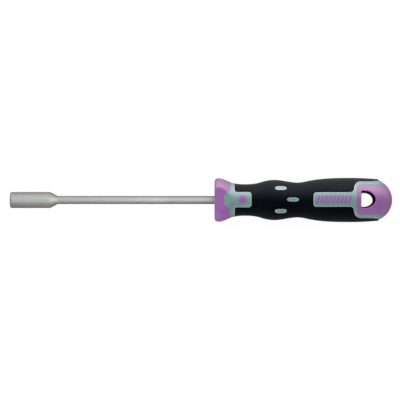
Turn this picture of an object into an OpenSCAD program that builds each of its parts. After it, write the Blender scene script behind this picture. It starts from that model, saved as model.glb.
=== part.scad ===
// Nut driver with a fixed hexagon socket and a three-shot moulded handle.
// X runs along the tool from the socket mouth, at 0, to the end of the handle.
// Z is the way the handle's mould opens, and the way the hanging hole runs.

/* [Socket] */
// Size of nut, across its flats
across_flats = 6; // [5.5:0.5:6.5]
// Play between the nut and the hexagon, across the flats
hex_play = 0.06; // [0.02:0.01:0.12]
// Depth of the hexagon from the mouth
hex_depth = 12; // [8:0.5:13]
// How far the lead-in cone stands out past the hexagon's corners
lead_in = 0.2; // [0.1:0.05:0.3]
// Diameter of the room for a screw's end behind the hexagon
thread_room_d = 5; // [4:0.1:5.6]
// Length of the room for a screw's end
thread_room_len = 6; // [4:0.5:7]
// Outside diameter of the socket
socket_d = 9.8; // [9.4:0.1:11]
// Length of the socket's straight barrel
barrel_len = 24.5; // [24:0.5:32]
// Rounding of the barrel's edge at the mouth
mouth_edge_r = 1; // [0.3:0.1:1.1]
// Length of the cone between the barrel and the shank
neck_len = 4.5; // [3.8:0.1:6]
// Rounding where the barrel turns into the cone
shoulder_r = 1.2; // [0.5:0.1:2]
// Hollow blend where the cone runs out into the shank
neck_blend_r = 3; // [1:0.5:4]

/* [Shank] */
// Diameter of the shank
shank_d = 5; // [4.6:0.1:5.6]
// Blade that stands out of the handle, mouth to collar
blade_len = 125; // [100:1:150]
// Diameter of the spigot that the socket is pressed on
spigot_d = 3.4; // [3:0.1:4]
// Length of the spigot
spigot_len = 8; // [5:0.5:8.5]
// Length of the shank inside the handle
tang_len = 62; // [50:1:75]
// Span of the two drive wings pressed out of the tang
wing_span = 9; // [7:0.5:11]
// Thickness of the drive wings
wing_t = 1.8; // [1.2:0.1:2.5]
// Length of the drive wings
wing_len = 12; // [8:1:16]
// Plain tang behind the drive wings
wing_from_tail = 6; // [3:1:10]
// Chamfer on the ends of the spigot and tang
end_chamfer = 0.4; // [0.2:0.1:0.8]

/* [Handle outline] */
// Length of the handle
handle_len = 108.6; // [106:0.2:120]
// Largest radius of the collar
collar_r = 13.3; // [12:0.1:14]
// Rounding of the collar's front edge
collar_edge_r = 2; // [1:0.1:2.4]
// Where the collar is widest, from the front face
collar_at = 2.5; // [2.4:0.1:4]
// Distance across the two flats that stop the tool rolling
flat_gap = 21.8; // [20:0.2:25]
// Radius half way down the flare behind the collar
flare_r = 11.4; // [10.8:0.1:12]
// Place of that radius
flare_at = 8.6; // [7:0.1:10]
// Slope of the flare there
flare_slope = -0.45; // [-0.6:0.01:-0.3]
// Radius of the slim neck for the fingertips
neck_r = 9.65; // [9:0.05:10.5]
// Place of the neck
neck_at = 18.4; // [17:0.1:21]
// Radius half way up from the neck to the belly
rise_r = 10.9; // [10.6:0.1:11.6]
// Place of that radius
rise_at = 28.2; // [26:0.1:30]
// Slope of the rise there
rise_slope = 0.33; // [0.15:0.01:0.45]
// Radius of the belly that carries the finger pads
belly_r = 12.35; // [11.8:0.05:13]
// Place of the belly
belly_at = 36.7; // [34:0.1:39]
// Radius of the waist
waist_r = 10.7; // [10:0.1:11.4]
// Place of the waist
waist_at = 50.8; // [48:0.1:53]
// Radius half way up from the waist to the palm
heel_r = 11.75; // [11.5:0.05:12.2]
// Place of that radius
heel_at = 57.5; // [56:0.1:60]
// Slope of the heel there
heel_slope = 0.2; // [0.1:0.01:0.25]
// Radius of the palm swell
palm_r = 13.55; // [12.8:0.05:14.5]
// Place of the palm swell, from the handle's end
palm_from_end = 24.6; // [22:0.1:28]
// Radius of the grip's edge at the handle's end
tail_r = 12.75; // [12.4:0.05:13.2]
// Slope of the grip at its end
tail_slope = -0.08; // [-0.15:0.01:0]
// Length of bare handle behind the grip
tail_len = 8.4; // [7:0.1:9.4]
// Rounding of the grip's edge at the handle's end
tail_edge_r = 0.4; // [0.3:0.1:1]
// Radius of the round handle end
dome_r = 12.9; // [12.6:0.1:13.2]
// Angle of the cone that runs from the grip's end down to the round end, in degrees
end_cone = 36.5; // [34:0.5:39]
// Rounding where the handle's outline turns into that cone
end_cone_r = 2; // [0.5:0.1:3]

/* [Handle layers] */
// Thickness of the soft grip
grip_t = 1.6; // [1:0.1:2]
// Thickness of the sleeve under the grip
sleeve_t = 1.2; // [0.8:0.1:1.6]
// Length of the collar that shows the core
collar_len = 9.5; // [8:0.1:11]
// Length of the sleeve ring behind the collar
ring_len = 2.7; // [2:0.1:4]
// Round nose of the sleeve on the collar's flats
nose_len = 3.9; // [2.5:0.1:4.5]
// Width of the nose at its tip
nose_tip_w = 5.2; // [4:0.1:6]
// Width of the nose where it leaves the ring
nose_w = 12.6; // [11:0.1:14]
// Rounding of the nose's tip
nose_r = 3.5; // [2:0.1:3.8]
// Length of the tab behind the ring
tab_len = 10.2; // [8:0.1:12]
// Width of the tab
tab_w = 9.4; // [8:0.2:11]
// Corner rounding of the tab
tab_corner_r = 1.8; // [0.8:0.1:3]
// Hollow blend where a tab or nose leaves its ring
root_r = 1.5; // [0.5:0.1:1.5]
// Length of a finger pad
pad_len = 7.1; // [6:0.1:9]
// Width of a finger pad
pad_w = 2.4; // [2:0.1:3.5]
// Length of a finger pad's half-ellipse end
pad_end = 2.1; // [1:0.1:2.5]
// Place of the pair of finger pads
pad_pair_at = 40.2; // [38:0.1:42]
// Spread of the pair of finger pads, centre to centre
pad_spread = 14.1; // [10:0.1:16]
// Step from the pair back to the single pad
pad_step = 7.3; // [6:0.1:9]
// Least length of grip between the single pad and the plate
pad_clear = 6; // [3:0.5:8]
// Length of the plate in front of the surround
plate_len = 24.3; // [20:0.1:27]
// Width of the plate
plate_w = 9; // [7:0.2:11]
// Corner rounding of the plate
plate_corner_r = 1.8; // [0.8:0.1:3]
// Hollow blend between the plate and the surround
plate_root_r = 2.5; // [1:0.1:3]
// Length of the surround, to the handle's end
surround_len = 24.4; // [23:0.1:26]
// Width of the surround at its front
surround_w = 22.5; // [21:0.1:23.5]
// Width of the surround where the grip ends
surround_tail_w = 24.4; // [23:0.1:24.8]
// Length over which the surround widens to that
surround_flare = 3.5; // [2:0.5:6]
// How far the surround's front edge leans back
surround_lean = 0.9; // [0:0.1:1.5]
// Corner rounding of the surround
surround_corner_r = 4.3; // [2:0.1:5]
// Length of the core that shows at the handle's end
cap_len = 22.2; // [21.5:0.1:22.8]
// Width of the core that shows at the handle's end
cap_w = 18.3; // [14:0.1:19]
// Corner rounding of that core
cap_corner_r = 2.6; // [1:0.1:4]

/* [Hanging hole] */
// Length of the hole along the handle, at its narrowest
hole_len = 6.9; // [5:0.1:8]
// Width of the hole, at its narrowest
hole_w = 8.4; // [6:0.1:9.4]
// Length of the hole's straight sides, before its round end
hole_side_len = 1.3; // [1:0.1:3]
// Rounding of the hole's two front corners
hole_corner_r = 0.9; // [0.3:0.1:1]
// Place of the hole's front edge, from the handle's end
hole_from_end = 18.8; // [17.5:0.1:19.4]
// Draft of the hole's walls, in degrees
hole_draft = 5; // [2:0.5:7]

/* [Hidden] */
$fn = 96;

// Degrees that one straight step of a rounding takes
arc_step = 15;
// Straight steps between two stations of the handle's outline
outline_steps = 7;
// Straight steps of the round end
dome_steps = 7;
// Length by which a cutter runs past the face it cuts
past = 1;
// Angle of a drill's point
drill_point = 118;

neck_slope = atan((socket_d - shank_d) / 2 / neck_len);
neck_end = barrel_len + neck_len;
socket_len = neck_end + neck_blend_r * tan(neck_slope / 2);
hex_corner_d = (across_flats + hex_play) / cos(30);
thread_room_end = hex_depth + thread_room_len;
drill_tip_len = thread_room_d / 2 / tan(drill_point / 2);
shank_end = blade_len + tang_len;
spigot_at = socket_len - spigot_len;

// Places along the handle, measured from the collar's front face
palm_at = handle_len - palm_from_end;
grip_end = handle_len - tail_len;
dome_at = handle_len - dome_r;
ring_mid = collar_len + ring_len / 2;
ring_end = collar_len + ring_len;
nose_at = collar_len - nose_len;
tab_end = ring_end + tab_len;
surround_at = handle_len - surround_len;
pads_end = pad_pair_at + pad_step + pad_len / 2;
plate_at = max(surround_at - plate_len, pads_end + pad_clear);
cap_at = handle_len - cap_len;
hole_at = handle_len - hole_from_end + hole_len / 2;

// Half a width that clears the whole handle
clear = palm_r + collar_r;

// The surround's front edge, and the most of it that each of its two roundings may take
surround_edge = (surround_w - plate_w) / 2;
root_share = 0.37;
corner_share = 0.63;
plate_root = min(plate_root_r, root_share * surround_edge);
surround_corner = min(surround_corner_r, corner_share * surround_edge);

// Stations of the handle's outline: place, radius and slope
stations = [
    [collar_at, collar_r, 0],
    [flare_at, flare_r, flare_slope],
    [neck_at, neck_r, 0],
    [rise_at, rise_r, rise_slope],
    [belly_at, belly_r, 0],
    [waist_at, waist_r, 0],
    [heel_at, heel_r, heel_slope],
    [palm_at, palm_r, 0],
    [grip_end, tail_r, tail_slope]
];

// Radius between two stations, by a cubic that meets both slopes
function between(a, b, at) =
    let (span = b.x - a.x, t = (at - a.x) / span)
    a.y * (2 * t^3 - 3 * t^2 + 1)
    + b.y * (3 * t^2 - 2 * t^3)
    + a.z * span * (t^3 - 2 * t^2 + t)
    + b.z * span * (t^3 - t^2);

// Outline points between two stations, without the last
function span_points(a, b) = [
    for (i = [0:outline_steps - 1])
        let (at = a.x + (b.x - a.x) * i / outline_steps)
        [at, between(a, b, at)]
];

// The grip's outline from the collar to its end
outline = [
    for (i = [0:len(stations) - 2]) each span_points(stations[i], stations[i + 1]),
    [grip_end, tail_r]
];

// Radius of the grip's outline at one place
function outline_r(at) = [
    for (i = [0:len(stations) - 2])
        if (at >= stations[i].x && at <= stations[i + 1].x)
            between(stations[i], stations[i + 1], at)
][0];

// Part of the outline, lowered by a depth
function outline_part(from, to, depth = 0) = [
    [from, outline_r(from) - depth],
    for (p = outline) if (p.x > from && p.x < to) [p.x, p.y - depth],
    [to, outline_r(to) - depth]
];

// Where the end cone touches the round end, and where it meets the line of the grip's end
cone_foot = [dome_at + dome_r * sin(end_cone), dome_r * cos(end_cone)];
cone_top_at = (cone_foot.y + cone_foot.x * tan(end_cone) - tail_r + grip_end * tail_slope)
    / (tan(end_cone) + tail_slope);
cone_top = [cone_top_at, tail_r + (cone_top_at - grip_end) * tail_slope];

// The outline as far as the rounding in front of the end cone
outline_to_cone = [for (p = outline) if (p.x < cone_top.x - end_cone_r) p];

// Outline of all hard plastic: collar, flare and grip, then down the end cone to the round end
hard_outline = [
    [0, 0],
    for (a = [180:-arc_step:90])
        [collar_edge_r * (1 + cos(a)), collar_r - collar_edge_r * (1 - sin(a))],
    each outline_to_cone,
    each corner_arc(outline_to_cone[len(outline_to_cone) - 1], cone_top, cone_foot, end_cone_r),
    for (i = [0:dome_steps])
        let (a = (90 - end_cone) * (1 - i / dome_steps))
        [dome_at + dome_r * cos(a), dome_r * sin(a)]
];

// A corner of an outline as a tangent arc
function corner_arc(before, at, after, r) =
    let (
        u = (before - at) / norm(before - at),
        v = (after - at) / norm(after - at),
        half = acos(u * v) / 2
    )
    r == 0
        ? [at]
        : let (
            centre = at + (u + v) / norm(u + v) * r / sin(half),
            from = at + u * r / tan(half) - centre,
            to = at + v * r / tan(half) - centre,
            turn = atan2(cross(from, to), from * to),
            start = atan2(from.y, from.x),
            steps = ceil(abs(turn) / arc_step)
        )
        [
            for (i = [0:steps])
                let (a = start + turn * i / steps)
                centre + r * [cos(a), sin(a)]
        ];

// A closed outline from corners, each a place and its rounding
function rounded(corners) =
    let (
        n = len(corners),
        places = [for (c = corners) [c.x, c.y]]
    )
    [
        for (i = [0:n - 1])
            each corner_arc(places[(i + n - 1) % n], places[i], places[(i + 1) % n], corners[i].z)
    ];

function reversed(list) = [for (i = [len(list) - 1:-1:0]) list[i]];

function all_but_last(list) = [for (i = [0:len(list) - 2]) list[i]];

// Corners on one side of the axis, and again on the other
function both_sides(corners) = concat(
    corners,
    [for (c = reversed(corners)) [c.x, -c.y, c.z]]
);

// Turns an outline of places and radii about the X axis
module turned(points) {
    rotate([0, 90, 0])
        rotate_extrude()
            polygon([for (p = points) [p.y, p.x]]);
}

// An outline drawn from above, cut right through the handle
module through(corners) {
    linear_extrude(height = 2 * clear, center = true)
        polygon(rounded(corners));
}

// The grip from the sleeve's ring to its rounded edge at the handle's end
grip_part = outline_part(ring_end, grip_end);
grip_outline = [
    [ring_end, 0],
    each all_but_last(grip_part),
    each corner_arc(grip_part[len(grip_part) - 2], [grip_end, tail_r], [grip_end, 0], tail_edge_r),
    [grip_end, 0]
];

// Corners of the sleeve's round nose, from the tip back to the collar's edge
nose_corners = [
    [nose_at, nose_tip_w / 2, nose_r],
    [collar_len, nose_w / 2, root_r],
    [collar_len, clear, 0]
];

// All hard plastic of the handle as one body, with the two flats on its collar
module hard_body() {
    difference() {
        turned(hard_outline);
        for (side = [0, 180])
            rotate([side, 0, 0])
                translate([-past, -clear, flat_gap / 2])
                    cube([neck_at + past, 2 * clear, clear]);
    }
}

// Where the core is: a bar inside, the collar in front and the cap behind
module core_space() {
    turned([
        [-past, 0],
        [-past, collar_r - grip_t - sleeve_t],
        each outline_part(collar_at, dome_at, grip_t + sleeve_t),
        [dome_at, 0]
    ]);
    through(both_sides(concat([[-past, clear, 0]], reversed(nose_corners))));
    through(both_sides([
        [handle_len + past, cap_w / 2, 0],
        [cap_at, cap_w / 2, cap_corner_r]
    ]));
}

// Where the core and the sleeve are, under the grip and out through its windows
module sleeve_space() {
    turned([
        [ring_mid, 0],
        each outline_part(ring_mid, grip_end, grip_t),
        [grip_end + past, tail_r - grip_t],
        [grip_end + past, 0]
    ]);
    through(both_sides(concat(
        nose_corners,
        [
            [ring_end, clear, 0],
            [ring_end, tab_w / 2, root_r],
            [tab_end, tab_w / 2, tab_corner_r]
        ]
    )));
    through(both_sides([
        [plate_at, plate_w / 2, plate_corner_r],
        [surround_at, plate_w / 2, plate_root],
        [surround_at + surround_lean, surround_w / 2, surround_corner],
        [grip_end - surround_flare, surround_w / 2, surround_flare],
        [grip_end, surround_tail_w / 2, 0],
        [grip_end, clear, 0],
        [handle_len + past, clear, 0]
    ]));
    for (side = [-1, 1])
        finger_pad(pad_pair_at, side * pad_spread / 2);
    finger_pad(pad_pair_at + pad_step, 0);
}

// One finger pad, a short bar with half-ellipse ends
module finger_pad(at, y) {
    bend = pad_len / 2 - pad_end;
    translate([at, y, 0])
        linear_extrude(height = 2 * clear, center = true)
            polygon([
                for (end = [1, -1], a = [-90:arc_step:90])
                    end * [bend + pad_end * cos(a), pad_w / 2 * sin(a)]
            ]);
}

// The hanging hole's outline about its middle: rounded corners in front, half an ellipse behind
hole_front = -hole_len / 2;
hole_bend = hole_front + hole_side_len;
hole_outline = concat(
    corner_arc([hole_front, 0], [hole_front, -hole_w / 2], [hole_bend, -hole_w / 2], hole_corner_r),
    [
        for (a = [-90:arc_step / 2:90])
            [hole_bend + (hole_len - hole_side_len) * cos(a), hole_w / 2 * sin(a)]
    ],
    corner_arc([hole_bend, hole_w / 2], [hole_front, hole_w / 2], [hole_front, 0], hole_corner_r)
);

// The hanging hole, narrowest half way down and wider by its draft at each face
module hanging_hole() {
    widen = 1 + 2 * clear * tan(hole_draft) / hole_w;
    for (side = [0, 180])
        rotate([side, 0, 0])
            linear_extrude(height = clear, scale = widen)
                polygon(hole_outline);
}

// The spigot on the shank's front end, and the hole for it in the socket
module spigot() {
    turned([
        [spigot_at, 0],
        [spigot_at, spigot_d / 2 - end_chamfer],
        [spigot_at + end_chamfer, spigot_d / 2],
        [socket_len + past, spigot_d / 2],
        [socket_len + past, 0]
    ]);
}

// The bar behind the socket, with the two drive wings near its tail
module winged_bar() {
    turned([
        [socket_len, 0],
        [socket_len, shank_d / 2],
        [shank_end - end_chamfer, shank_d / 2],
        [shank_end, shank_d / 2 - end_chamfer],
        [shank_end, 0]
    ]);
    translate([shank_end - wing_from_tail - wing_len, -wing_span / 2, -wing_t / 2])
        cube([wing_len, wing_span, wing_t]);
}

module socket() {
    color("#b5b8b8")
        difference() {
            turned(rounded([
                [0, 0, 0],
                [0, socket_d / 2, mouth_edge_r],
                [barrel_len, socket_d / 2, shoulder_r],
                [neck_end, shank_d / 2, neck_blend_r],
                [socket_len, shank_d / 2, 0],
                [socket_len, 0, 0]
            ]));
            socket_hollow();
            spigot();
        }
}

// The hexagon, its lead-in cone and the drilled room behind it
module socket_hollow() {
    lead_r = hex_corner_d / 2 + lead_in;
    translate([-past, 0, 0])
        rotate([0, 90, 0]) {
            cylinder(d = hex_corner_d, h = hex_depth + past, $fn = 6);
            cylinder(r1 = lead_r + past, r2 = 0, h = lead_r + past);
        }
    turned([
        [past, 0],
        [past, thread_room_d / 2],
        [thread_room_end, thread_room_d / 2],
        [thread_room_end + drill_tip_len, 0]
    ]);
}

module shank() {
    color("#c0c2c2") {
        spigot();
        winged_bar();
    }
}

module handle_core() {
    color("#9768a2")
        difference() {
            translate([blade_len, 0, 0])
                difference() {
                    intersection() {
                        hard_body();
                        core_space();
                    }
                    translate([hole_at, 0, 0])
                        hanging_hole();
                }
            winged_bar();
        }
}

module handle_sleeve() {
    color("#8ba9a9")
        translate([blade_len, 0, 0])
            difference() {
                intersection() {
                    hard_body();
                    sleeve_space();
                }
                core_space();
            }
}

module grip_cover() {
    color("#2a2f32")
        translate([blade_len, 0, 0])
            difference() {
                turned(grip_outline);
                sleeve_space();
            }
}

socket();
shank();
handle_core();
handle_sleeve();
grip_cover();
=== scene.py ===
# %% [markdown]
# # A nut driver with a three-shot handle
#
# The tool is a steel socket on a round steel shank, in a handle that is moulded in three shots: a hard
# purple core, a hard grey-green sleeve over it, and a soft black grip on top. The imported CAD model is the
# frame. This lesson makes finer pieces in the same place, because the eye wants small rounded edges, shut-off
# lines between the shots and surfaces without facets, which a lean CAD model leaves out. Sizes are written in
# millimetres, unless a comment says otherwise, and become metres where Blender takes them.

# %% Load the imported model
import math
from collections import namedtuple
from functools import partial

import bmesh
import bpy
import numpy as np
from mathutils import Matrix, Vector
from mathutils.geometry import delaunay_2d_cdt


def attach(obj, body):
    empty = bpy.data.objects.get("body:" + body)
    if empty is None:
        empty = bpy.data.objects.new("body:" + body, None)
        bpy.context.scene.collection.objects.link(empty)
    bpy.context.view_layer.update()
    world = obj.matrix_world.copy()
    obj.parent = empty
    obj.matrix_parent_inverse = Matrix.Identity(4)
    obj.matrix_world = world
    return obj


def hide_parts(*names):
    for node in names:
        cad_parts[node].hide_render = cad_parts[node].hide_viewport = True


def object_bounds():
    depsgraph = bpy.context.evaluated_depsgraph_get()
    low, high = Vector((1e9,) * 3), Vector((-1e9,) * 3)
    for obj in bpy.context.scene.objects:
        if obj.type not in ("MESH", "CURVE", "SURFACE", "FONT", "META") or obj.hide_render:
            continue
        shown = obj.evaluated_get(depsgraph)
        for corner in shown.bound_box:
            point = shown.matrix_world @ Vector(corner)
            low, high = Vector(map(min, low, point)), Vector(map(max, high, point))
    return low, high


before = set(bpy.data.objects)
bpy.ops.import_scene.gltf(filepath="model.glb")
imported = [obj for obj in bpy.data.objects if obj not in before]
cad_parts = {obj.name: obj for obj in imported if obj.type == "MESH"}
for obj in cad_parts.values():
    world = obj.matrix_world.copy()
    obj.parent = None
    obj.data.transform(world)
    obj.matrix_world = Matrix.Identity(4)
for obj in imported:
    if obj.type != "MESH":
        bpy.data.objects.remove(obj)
cad_low, cad_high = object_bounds()
MM = 0.001
print("CAD box, mm:", [round(v / MM, 2) for v in (*cad_low, *cad_high)])

# %% [markdown]
# ## Camera
#
# The tool lies level and is seen from almost straight above, with the handle to the right. A long lens from
# far away keeps the near side of the handle from swelling, but it is near enough to show the wall of the
# hanging hole. The lens follows from the width of the view at the tool's axis, so the tool fills the same
# part of the picture.

# %% Camera
CAMERA_AWAY = 1300.0
CAMERA_TILT = math.radians(1.5)
VIEW_WIDTH = 244.8
VIEW_CENTRE = 116.08
SENSOR = 36.0


def place_object(name, data):
    thing = bpy.data.objects.new(name, data)
    bpy.context.scene.collection.objects.link(thing)
    return thing


camera_data = bpy.data.cameras.new("camera")
camera_data.sensor_width = SENSOR
camera_data.lens = SENSOR * CAMERA_AWAY / VIEW_WIDTH
camera = place_object("camera", camera_data)
camera.location = (
    VIEW_CENTRE * MM, -CAMERA_AWAY * MM * math.sin(CAMERA_TILT), CAMERA_AWAY * MM * math.cos(CAMERA_TILT))
camera.rotation_euler = (CAMERA_TILT, 0, 0)
bpy.context.scene.camera = camera
print("lens, mm:", round(camera_data.lens, 1))

# %% [markdown]
# ## Two small helpers
#
# Colours are written as the sRGB hex values that a paint program shows, but shaders add light, so they need
# linear values. One function turns one into the other. A second function adds a node, sets it up and links
# it, for shader trees and geometry trees alike, so that a tree reads as a list of what it does. Where an
# input is given a whole node, the link comes from that node's first output. The name `node` below stands for
# this function with one tree filled in.

# %% Colour and node helpers
def linear(code):
    # The curve of the sRGB standard.
    parts = [int(code[i:i + 2], 16) / 255 for i in (1, 3, 5)]
    return (*[p / 12.92 if p <= 0.04045 else ((p + 0.055) / 1.055) ** 2.4 for p in parts], 1.0)


def add(tree, kind, inputs=None, **settings):
    node = tree.nodes.new(kind)
    for name, value in settings.items():
        setattr(node, name, value)
    for name, value in (inputs or {}).items():
        if isinstance(value, bpy.types.Node):
            value = value.outputs[0]
        if isinstance(value, bpy.types.NodeSocket):
            tree.links.new(value, node.inputs[name])
        else:
            node.inputs[name].default_value = value
    return node


print("mid grey #808080 is", round(linear("#808080")[0], 3), "in linear light")

# %% [markdown]
# ## The floor
#
# The picture has a plain white ground. The floor is a sheet of studio paper just under the handle. It could
# be lit to white, but then the tool would be too bright as well. So it glows white to the camera, with a
# share of plain paper left in the mix, which takes the tool's shadow. To reflections it glows by place: fully
# beyond the tool's upper side, faintly beyond the handle's end, and hardly at all on the lower side, where
# the tool is dark. The paper itself is mid grey, so that it throws little light back.

# %% Paper
PAPER_GLOW, SEEN_SHARE = 1.21, 0.8
# Where the glow changes for reflections, and the share of it that is left there.
DIM_AT, DIM_SHARE = -5 * MM, 0.05
PALE_AT, PALE_SHARE = 65 * MM, 1.0
END_FROM, END_TO, END_SHARE = 236 * MM, 256 * MM, 0.22


def new_material(name):
    material = bpy.data.materials.new(name)
    material.use_nodes = True
    material.node_tree.nodes.clear()
    return material, partial(add, material.node_tree)


def ray_kinds(node):
    path = node("ShaderNodeLightPath").outputs
    mirrored = node("ShaderNodeMath", {
        0: path["Is Glossy Ray"], 1: path["Is Transmission Ray"]}, operation="MAXIMUM")
    return path["Is Camera Ray"], mirrored


paper, node = new_material("pale studio paper")
plain = node("ShaderNodeBsdfDiffuse", {"Color": linear("#858583")})
glow = node("ShaderNodeEmission", {"Color": linear("#ffffff"), "Strength": PAPER_GLOW})
seen, mirrored = ray_kinds(node)
to_camera = node("ShaderNodeMath", {0: seen, 1: SEEN_SHARE}, operation="MULTIPLY")
place = node("ShaderNodeTexCoord").outputs["Object"]
spot = node("ShaderNodeSeparateXYZ", {"Vector": place}).outputs
past_end, past_top = [
    node("ShaderNodeMapRange", {
        "Value": spot[axis], "From Min": start, "From Max": stop, "To Min": DIM_SHARE, "To Max": most})
    for axis, start, stop, most in (("X", END_FROM, END_TO, END_SHARE), ("Y", DIM_AT, PALE_AT, PALE_SHARE))]
to_mirrors = node("ShaderNodeMath", {0: past_end, 1: past_top}, operation="MAXIMUM")
share = node("ShaderNodeMath", {0: mirrored, 1: to_mirrors, 2: to_camera}, operation="MULTIPLY_ADD")
mixed = node("ShaderNodeMixShader", {0: share, 1: plain, 2: glow})
node("ShaderNodeOutputMaterial", {"Surface": mixed})
print("made", paper.name)

# %% Floor
FLOOR_SIZE = 6.0  # metres
half = FLOOR_SIZE / 2
floor_mesh = bpy.data.meshes.new("floor")
floor_mesh.from_pydata(
    [(x, y, cad_low.z) for x, y in ((-half, -half), (half, -half), (half, half), (-half, half))],
    [], [(0, 1, 2, 3)])
floor_mesh.materials.append(paper)
floor = place_object("floor", floor_mesh)
bpy.context.scene.view_settings.view_transform = "Standard"
print("floor at z", round(cad_low.z / MM, 2), "mm")

# %% [markdown]
# ## The room
#
# The room is white to the camera. What the tool mirrors is not the same on all sides: the side beyond the
# upper edge of the picture is pale, the side beyond the lower edge is dim, and near straight above, where the
# camera stands, it is darkest. Ahead of the socket it is a little paler again, which lights the collar's
# front edge. A ramp over how far the ray points to the pale side gives that. Rays that only gather soft light
# see an even, dim room, because the lamps do that work.

# %% World
WORLD_LEVEL = 0.22
PALE_SIDE = (0.1, 0.97, 0.0)
FRONT_SIDE = (-0.3, 0.0, 0.0)
# How far a ray points to the pale side, and the level of the room there.
ROOM = (
    (-1.0, 0.12), (-0.7, 0.09), (-0.3, 0.04), (0.1, 0.07), (0.28, 0.27), (0.5, 1.1), (0.82, 2.0), (1.0, 2.0))
world = bpy.data.worlds.new("studio")
world.use_nodes = True
world.node_tree.nodes.clear()
node = partial(add, world.node_tree)
way = node("ShaderNodeTexCoord").outputs["Generated"]
toward, ahead = [
    node("ShaderNodeVectorMath", {0: way, 1: side}, operation="DOT_PRODUCT").outputs["Value"]
    for side in (PALE_SIDE, FRONT_SIDE)]
paler = node("ShaderNodeMath", {0: toward, 1: ahead}, operation="MAXIMUM")
across = node("ShaderNodeMapRange", {"Value": paler, "From Min": -1.0, "From Max": 1.0})
room = node("ShaderNodeValToRGB", {"Fac": across})
for _ in ROOM[2:]:
    room.color_ramp.elements.new(0.5)
for stop, (at, level) in zip(room.color_ramp.elements, ROOM):
    stop.position, stop.color = (at + 1) / 2, (level, level, level, 1.0)
seen, mirrored = ray_kinds(node)
even, sided, white = [
    node("ShaderNodeBackground", {"Color": colour, "Strength": level})
    for colour, level in ((linear("#ffffff"), WORLD_LEVEL), (room, 1.0), (linear("#ffffff"), 1.0))]
unseen = node("ShaderNodeMixShader", {0: mirrored, 1: even, 2: sided})
world_mix = node("ShaderNodeMixShader", {0: seen, 1: unseen, 2: white})
node("ShaderNodeOutputWorld", {"Surface": world_mix})
bpy.context.scene.world = world
print("room levels from the lower side over the top to the upper side:", [level for _, level in ROOM])

# %% [markdown]
# ## Lamps
#
# The light on the handle is soft and nearly even: a panel beyond the upper edge of the picture, one beyond
# the lower edge, a strip high above, and a weak panel beyond the handle's end. The lower panel and the strip
# stand towards the socket, so that the collar gets as much light as the cap. Area lamps are chosen because
# their size sets how soft the light is. They give soft light only and are kept out of reflections, where the
# pale room already stands for them. Steel shows nothing but reflections, so it gets what a photographer would
# hang near it: a card over it, which draws the broad bright line along it, one that the socket's cone
# mirrors, a small one by the collar, because the collar hides part of the first card from the shank, and a
# dim warm one low down, which fills the socket's lower side. They would also brighten the collar, so they are
# linked to a collection, and light only what is put into it.

# %% Lamps
# Power is in watts, size in metres, place and aim in millimetres.
PANELS = {
    "upper panel": dict(power=2.35, size=(1.0, 0.4), at=(VIEW_CENTRE - 40, 620, 240)),
    "lower panel": dict(power=4.6, size=(0.6, 0.4), at=(VIEW_CENTRE - 260, -700, 220)),
    "overhead strip": dict(power=5.8, size=(0.5, 0.25), at=(VIEW_CENTRE - 300, 420, 1000)),
    "end panel": dict(power=0.85, size=(0.5, 0.4), at=(VIEW_CENTRE + 650, -150, 220), aim=(222, 0, 0)),
}
STEEL_CARDS = {
    "card over the steel": dict(power=0.061, size=(0.185, 0.056), at=(71, -2, 30)),
    "card before the cone": dict(power=0.041, size=(0.09, 0.05), at=(100, 0, 52.6), aim=(27, 0, 52.6)),
    "card by the collar": dict(power=0.0019, size=(0.03, 0.04), at=(110, -2, 20)),
    "warm card below": dict(power=0.037, size=(0.16, 0.05), at=(50, -80, 4), colour="#fff2e6"),
}


def add_lamp(name, power, size, at, aim=None, colour="#ffffff"):
    data = bpy.data.lights.new(name, "AREA")
    data.shape = "RECTANGLE"
    data.size, data.size_y = size
    data.energy, data.color = power, linear(colour)[:3]
    lamp = place_object(name, data)
    lamp.location = [v * MM for v in at]
    away = Vector(at) - Vector(aim or (at[0], 0, 0))
    lamp.rotation_euler = away.to_track_quat("Z", "Y").to_euler()
    lamp.visible_camera = False
    return lamp


steel = bpy.data.collections.new("steel")
for lamp_name, lamp_facts in PANELS.items():
    add_lamp(lamp_name, **lamp_facts).visible_glossy = False
for lamp_name, lamp_facts in STEEL_CARDS.items():
    card = add_lamp(lamp_name, **lamp_facts)
    card.visible_diffuse = False
    card.light_linking.receiver_collection = steel
print("lamps:", ", ".join((*PANELS, *STEEL_CARDS)))

# %% [markdown]
# ## Materials: satin chrome
#
# The socket and shank are steel with a satin chrome plate. Before plating they are ground, and the marks run
# round the socket and along the shank. Under the matt plate they only break up the shine a little. A metal
# has no colour of its own under its shine, so the base colour is the colour of the reflection. All materials
# of the tool end in the same way, with a pattern for the roughness and one for the relief, so one function
# lays both.

# %% Satin chrome
NOISE_LOW, NOISE_HIGH = 0.3, 0.7  # nearly all values of a noise lie between these
# Grinding marks are about 0.05 mm apart on the real part: drawn 0.5 mm apart here, so that they show.
GRIND_STEP, GRIND_LENGTH = 0.5 * MM, 12 * MM
CLOUD_SIZE = 7 * MM


def lay_surface(node, inputs, matt, matt_range, relief, strength, depth):
    rough = node("ShaderNodeMapRange", {
        "Value": matt, "From Min": NOISE_LOW, "From Max": NOISE_HIGH,
        "To Min": matt_range[0], "To Max": matt_range[1]})
    bump = node("ShaderNodeBump", {"Height": relief, "Strength": strength, "Distance": depth})
    shader = node("ShaderNodeBsdfPrincipled", {"Roughness": rough, "Normal": bump, **inputs})
    node("ShaderNodeOutputMaterial", {"Surface": shader})


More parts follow.
